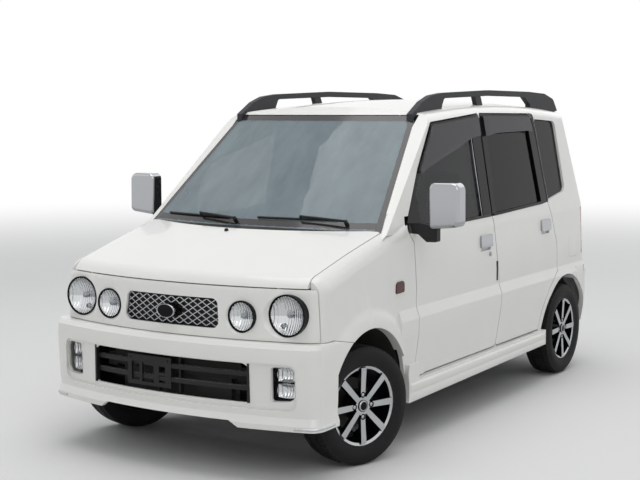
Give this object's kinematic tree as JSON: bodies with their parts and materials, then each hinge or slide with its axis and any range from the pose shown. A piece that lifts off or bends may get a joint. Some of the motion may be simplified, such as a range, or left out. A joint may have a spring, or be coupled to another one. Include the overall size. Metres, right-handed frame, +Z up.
{
  "type": "kei car",
  "caption": "Small tall four-door city car with round lamps, roof rails, opening doors, hood and side-hinged tailgate, steered front wheels and a hollow cabin.",
  "frame": {"origin": "middle of the car's length and width, on the road under the tyres", "axes": "+X is the car's left, +Y runs to the tail (the car faces -Y), +Z up"},
  "size_m": [1.9394, 3.3948, 1.6879],
  "materials": {
    "white_paint": "gloss clear coat",
    "underbody": "satin black underseal",
    "black_plastic": "grained",
    "trim_plastic": "grained",
    "bright_metal": "polished",
    "lamp_clear": "polished",
    "lamp_red": "polished",
    "lamp_amber": "polished",
    "clear_glass": "polished",
    "dark_glass": "polished",
    "seat_fabric": "woven",
    "cast_block": "as cast",
    "bare_alloy": "brushed",
    "tyre": "matt",
    "wheel_alloy": "polished and black"
  },
  "bodies": {
    "body": {"body_sides": "white_paint", "bumper_grille": "black_plastic", "bumper_lamps": "lamp_clear", "cowl_panel": "black_plastic", "dashboard": "trim_plastic", "engine_block": "cast_block", "exhaust": "bare_alloy", "floor_pan": "underbody", "front_bumper": "white_paint", "front_fenders": "white_paint", "front_seats": "seat_fabric", "front_suspension": "underbody", "fuel_tank": "black_plastic", "grille_backing": "black_plastic", "headlamps": "lamp_clear", "lamp_bowls": "bright_metal", "nose_grille": "bright_metal", "nose_panel": "white_paint", "quarter_glass": "dark_glass", "radiator": "bare_alloy", "rear_axle": "underbody", "rear_bench": "seat_fabric", "rear_bumper": "white_paint", "roof_panel": "white_paint", "roof_rails": "trim_plastic", "side_markers": "lamp_amber", "side_skirts": "white_paint", "tail_lamps": "lamp_red", "windshield": "clear_glass", "wipers": "black_plastic"},
    "front_left_wheel": {"tyre_front_left": "tyre", "rim_front_left": "wheel_alloy"},
    "front_right_wheel": {"tyre_front_right": "tyre", "rim_front_right": "wheel_alloy"},
    "rear_left_wheel": {"tyre_rear_left": "tyre", "rim_rear_left": "wheel_alloy"},
    "rear_right_wheel": {"tyre_rear_right": "tyre", "rim_rear_right": "wheel_alloy"},
    "left_knuckle": {"knuckle_front_left": "cast_block"},
    "right_knuckle": {"knuckle_front_right": "cast_block"},
    "hood": {"hood": "white_paint"},
    "tailgate": {"tailgate": "white_paint", "tailgate_glass": "dark_glass", "rear_wiper": "black_plastic"},
    "front_left_door": {"front_door_left": "white_paint", "front_handle_left": "bright_metal", "front_door_glass_left": "clear_glass", "door_mirror_left": "bright_metal"},
    "front_right_door": {"front_door_right": "white_paint", "front_handle_right": "bright_metal", "front_door_glass_right": "clear_glass", "door_mirror_right": "bright_metal"},
    "rear_left_door": {"rear_door_left": "white_paint", "rear_handle_left": "bright_metal", "rear_door_glass_left": "dark_glass"},
    "rear_right_door": {"rear_door_right": "white_paint", "rear_handle_right": "bright_metal", "rear_door_glass_right": "dark_glass"},
    "steering_wheel": {"steering_wheel": "black_plastic"}
  },
  "joints": [
    {"name": "steer_left", "type": "hinge", "parent": "body", "child": "left_knuckle", "pos_m": [0.605, -1.1225, 0.2685], "axis": [0, 0, 1], "range_deg": [-17, 53]},
    {"name": "steer_right", "type": "hinge", "parent": "body", "child": "right_knuckle", "pos_m": [-0.605, -1.1225, 0.2685], "axis": [0, 0, 1], "range_deg": [-17, 53]},
    {"name": "front_left_spin", "type": "hinge", "parent": "left_knuckle", "child": "front_left_wheel", "pos_m": [0.64304, -1.13486, 0.2685], "axis": [0.9511, -0.309, 0], "continuous": true},
    {"name": "front_right_spin", "type": "hinge", "parent": "right_knuckle", "child": "front_right_wheel", "pos_m": [-0.64304, -1.11014, 0.2685], "axis": [0.9511, -0.309, 0], "continuous": true},
    {"name": "rear_left_spin", "type": "hinge", "parent": "body", "child": "rear_left_wheel", "pos_m": [0.645, 1.2375, 0.2685], "axis": [1, 0, 0], "continuous": true},
    {"name": "rear_right_spin", "type": "hinge", "parent": "body", "child": "rear_right_wheel", "pos_m": [-0.645, 1.2375, 0.2685], "axis": [1, 0, 0], "continuous": true},
    {"name": "steering_wheel_turn", "type": "hinge", "parent": "body", "child": "steering_wheel", "pos_m": [-0.35, -0.3325, 0.905], "axis": [0, 0.9272, 0.3746], "range_deg": [-255, 795]},
    {"name": "hood_lift", "type": "hinge", "parent": "body", "child": "hood", "pos_m": [0, -0.9175, 1.03], "axis": [-1, 0, 0], "range_deg": [0, 55]},
    {"name": "tailgate_swing", "type": "hinge", "parent": "body", "child": "tailgate", "pos_m": [-0.612, 1.6225, 0.9], "axis": [0, 0, 1], "range_deg": [0, 80]},
    {"name": "front_left_door_swing", "type": "hinge", "parent": "body", "child": "front_left_door", "pos_m": [0.7375, -0.6825, 0.7], "axis": [0, 0, -1], "range_deg": [0, 65]},
    {"name": "front_right_door_swing", "type": "hinge", "parent": "body", "child": "front_right_door", "pos_m": [-0.7375, -0.6825, 0.7], "axis": [0, 0, 1], "range_deg": [0, 65]},
    {"name": "rear_left_door_swing", "type": "hinge", "parent": "body", "child": "rear_left_door", "pos_m": [0.7375, 0.2525, 0.7], "axis": [0, 0, -1], "range_deg": [0, 68]},
    {"name": "rear_right_door_swing", "type": "hinge", "parent": "body", "child": "rear_right_door", "pos_m": [-0.7375, 0.2525, 0.7], "axis": [0, 0, 1], "range_deg": [0, 68]}
  ],
  "couplings": [
    {"joint": "steer_right", "follows": "steer_left", "ratio": 1},
    {"joint": "steering_wheel_turn", "follows": "steer_left", "ratio": 15}
  ]
}
